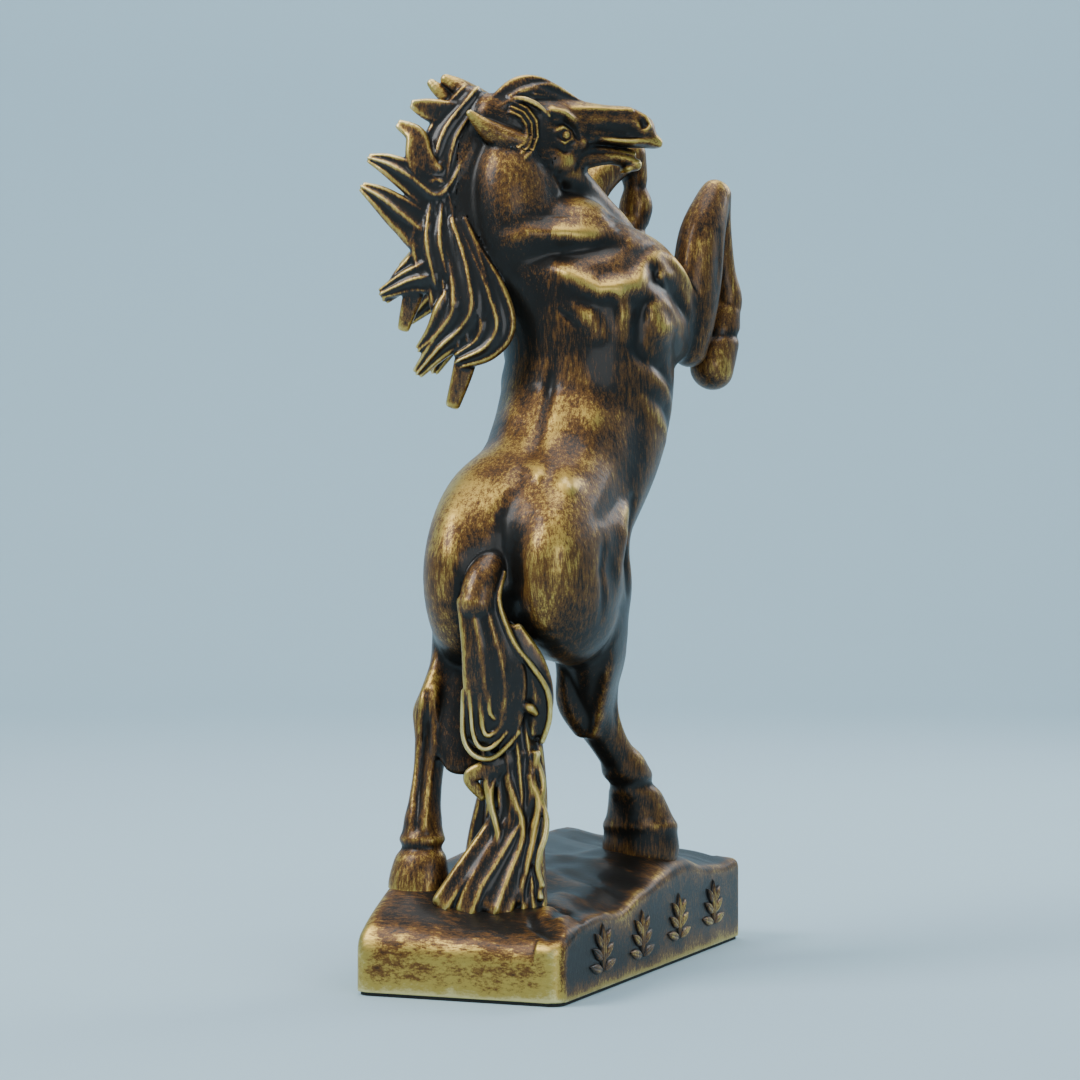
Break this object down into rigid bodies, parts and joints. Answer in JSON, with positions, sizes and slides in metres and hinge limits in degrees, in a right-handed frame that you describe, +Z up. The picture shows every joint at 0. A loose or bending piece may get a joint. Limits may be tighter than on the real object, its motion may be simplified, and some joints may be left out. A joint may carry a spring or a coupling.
{
  "type": "bronze horse statue",
  "caption": "Rearing horse statue in antiqued bronze, head turned back, with a flowing mane and tail, on a rocky plinth with raised leaf sprigs.",
  "frame": {"origin": "centre of the plinth's underside, on the face of the felt that the statue rests on", "axes": "+Z up; +X along the plinth, the way the horse's chest faces; +Y towards the horse's left side; the sprigs are on the -Y face"},
  "size_m": [0.231, 0.1377, 0.3958],
  "materials": {
    "body_bronze": "antiqued bronze: near-black patina rubbed back to brushed gold on the raised forms, under a gloss lacquer",
    "hair_bronze": "antiqued bronze: dark patina in deep grooves, gold only on the ridges, under a gloss lacquer",
    "plinth_bronze": "antiqued bronze with coarse brush streaks, gold on the shoulders, dark at the foot",
    "relief_bronze": "antiqued bronze, rubbed gold on the raised sprigs",
    "board_wood": "plain fibreboard, sealed",
    "felt": "dark green felt",
    "steel": "zinc plated steel"
  },
  "bodies": {
    "root": {"plinth": "plinth_bronze", "plinth_relief": "relief_bronze", "base_board": "board_wood", "base_felt": "felt", "board_screws": "steel", "mounting_studs": "steel", "stud_washers": "steel", "stud_nuts": "steel", "torso": "body_bronze", "neck": "body_bronze", "head": "body_bronze", "left_ear": "body_bronze", "right_ear": "body_bronze", "forelock": "hair_bronze", "mane_upper": "hair_bronze", "mane_middle": "hair_bronze", "mane_lower": "hair_bronze", "right_foreleg": "body_bronze", "left_foreleg": "body_bronze", "right_hind_leg": "body_bronze", "left_hind_leg": "body_bronze", "tail_upper": "hair_bronze", "tail_lower": "hair_bronze", "neck_dowels": "steel", "foreleg_dowels": "steel", "hind_leg_dowels": "steel", "tail_dowel": "steel"}
  },
  "joints": []
}
